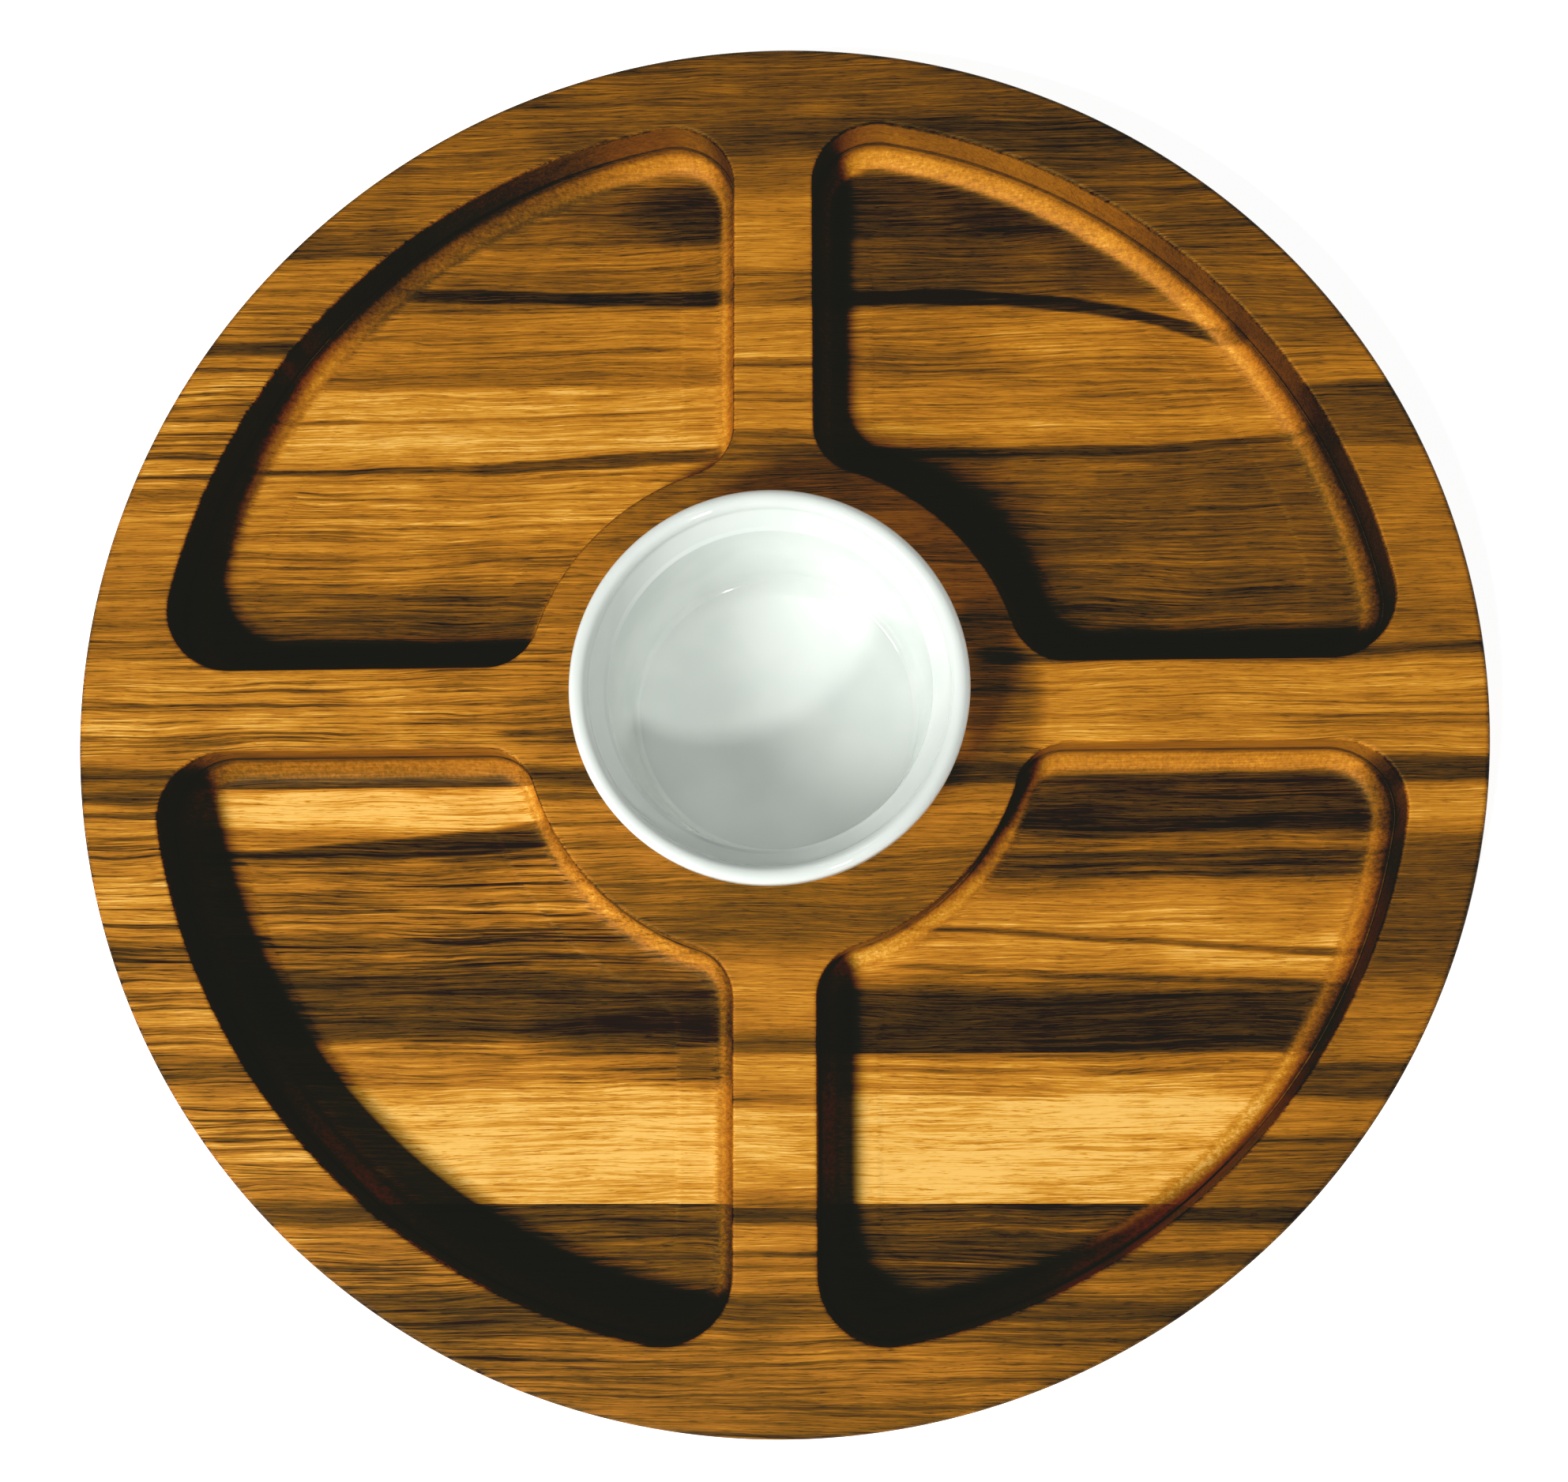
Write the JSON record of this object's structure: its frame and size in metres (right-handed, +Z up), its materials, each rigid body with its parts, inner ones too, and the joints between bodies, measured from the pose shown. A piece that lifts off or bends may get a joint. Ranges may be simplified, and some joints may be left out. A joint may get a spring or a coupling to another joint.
{
  "type": "chip and dip server",
  "caption": "Round edge-glued wooden serving tray with coved quadrant compartments and a lift-out glazed dip bowl in its centre.",
  "frame": {"origin": "centre of the tray's flat underside", "axes": "+Z up out of the compartments, X along the grain of the staves, -Y towards the person served"},
  "size_m": [0.33, 0.33, 0.05],
  "materials": {
    "oiled_wood": "hand-oiled, satin",
    "white_glaze": "gloss glaze"
  },
  "bodies": {
    "tray": {"far_edge_stave": "oiled_wood", "far_inner_stave": "oiled_wood", "centre_stave": "oiled_wood", "near_inner_stave": "oiled_wood", "near_middle_stave": "oiled_wood", "near_narrow_stave": "oiled_wood", "near_edge_stave": "oiled_wood"},
    "bowl": {"dip_bowl": "white_glaze"}
  },
  "joints": [
    {"name": "bowl_lift", "type": "slide", "parent": "tray", "child": "bowl", "axis": [0, 0, 1], "range_m": [0, 0.08]}
  ]
}
